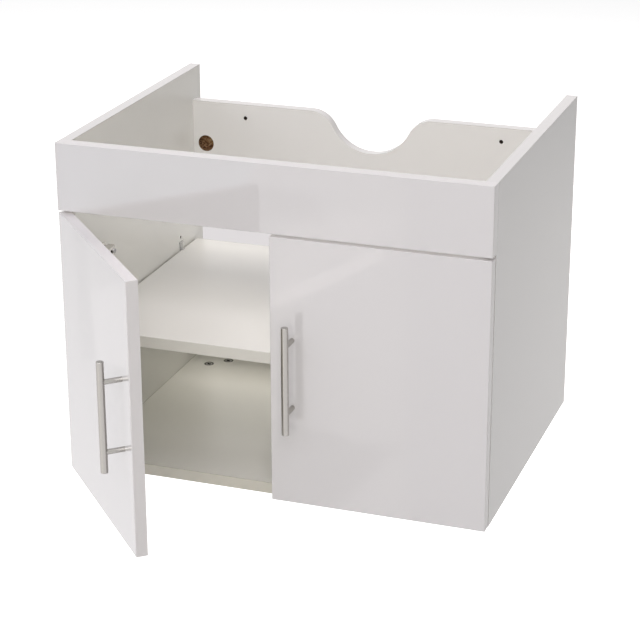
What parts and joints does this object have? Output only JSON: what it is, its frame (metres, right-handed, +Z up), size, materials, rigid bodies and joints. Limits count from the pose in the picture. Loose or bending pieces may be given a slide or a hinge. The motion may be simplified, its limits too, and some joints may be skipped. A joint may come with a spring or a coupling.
{
  "type": "wall-hung washbasin cabinet",
  "caption": "Wall-hung cabinet for a washbasin, with a fixed front strip, hinged doors with bar handles, an inner shelf and a back panel scooped out for the pipes.",
  "frame": {"origin": "midway between the two wall-screw holes, on the rear face of the upper back panel", "axes": "+X to the right seen from the front, +Y towards the wall, +Z up"},
  "size_m": [0.6019, 0.6759, 0.475],
  "materials": {
    "white_board": "white melamine on chipboard, satin",
    "gloss_front": "high-gloss white on fibreboard",
    "handle_steel": "brushed stainless steel",
    "hinge_nickel": "nickel-plated pressed steel",
    "screw_steel": "zinc-plated steel",
    "cam_zinc": "dull zinc alloy",
    "dowel_beech": "plain beech",
    "clear_plastic": "clear, smooth"
  },
  "bodies": {
    "carcass": {"left_side_panel": "white_board", "right_side_panel": "white_board", "bottom_panel": "white_board", "lower_rear_rail": "white_board", "upper_back_panel": "white_board", "shelf": "white_board", "front_fascia": "gloss_front", "cam_locks": "cam_zinc", "cam_bolts": "screw_steel", "wooden_dowels": "dowel_beech", "shelf_supports": "clear_plastic", "hinge_plate_screws": "screw_steel", "left_hinge_plates": "hinge_nickel", "left_hinge_arms": "hinge_nickel", "left_adjusting_screws": "screw_steel", "left_arm_pins": "screw_steel", "right_hinge_plates": "hinge_nickel", "right_hinge_arms": "hinge_nickel", "right_adjusting_screws": "screw_steel", "right_arm_pins": "screw_steel"},
    "left_links": {"left_hinge_links": "hinge_nickel"},
    "left_door": {"left_door": "gloss_front", "left_hinge_cups": "hinge_nickel", "left_cup_pins": "screw_steel", "left_cup_screws": "screw_steel", "left_handle_bar": "handle_steel", "left_handle_posts": "handle_steel", "left_handle_screws": "screw_steel"},
    "right_links": {"right_hinge_links": "hinge_nickel"},
    "right_door": {"right_door": "gloss_front", "right_hinge_cups": "hinge_nickel", "right_cup_pins": "screw_steel", "right_cup_screws": "screw_steel", "right_handle_bar": "handle_steel", "right_handle_posts": "handle_steel", "right_handle_screws": "screw_steel"}
  },
  "joints": [
    {"name": "left_link_turn", "type": "hinge", "parent": "carcass", "child": "left_links", "pos_m": [-0.2565, -0.423, -0.217], "axis": [0, 0, 1], "range_deg": [-16, 15.67]},
    {"name": "left_door_turn", "type": "hinge", "parent": "left_links", "child": "left_door", "pos_m": [-0.28335, -0.43819, -0.217], "axis": [0, 0, 1], "range_deg": [-62.67, 64]},
    {"name": "right_link_turn", "type": "hinge", "parent": "carcass", "child": "right_links", "pos_m": [0.2565, -0.423, -0.217], "axis": [0, 0, 1], "range_deg": [-31.67, 0]},
    {"name": "right_door_turn", "type": "hinge", "parent": "right_links", "child": "right_door", "pos_m": [0.2865, -0.4302, -0.217], "axis": [0, 0, 1], "range_deg": [0, 126.67]}
  ],
  "couplings": [
    {"joint": "left_link_turn", "follows": "left_door_turn", "ratio": -0.25},
    {"joint": "right_link_turn", "follows": "right_door_turn", "ratio": -0.25}
  ]
}
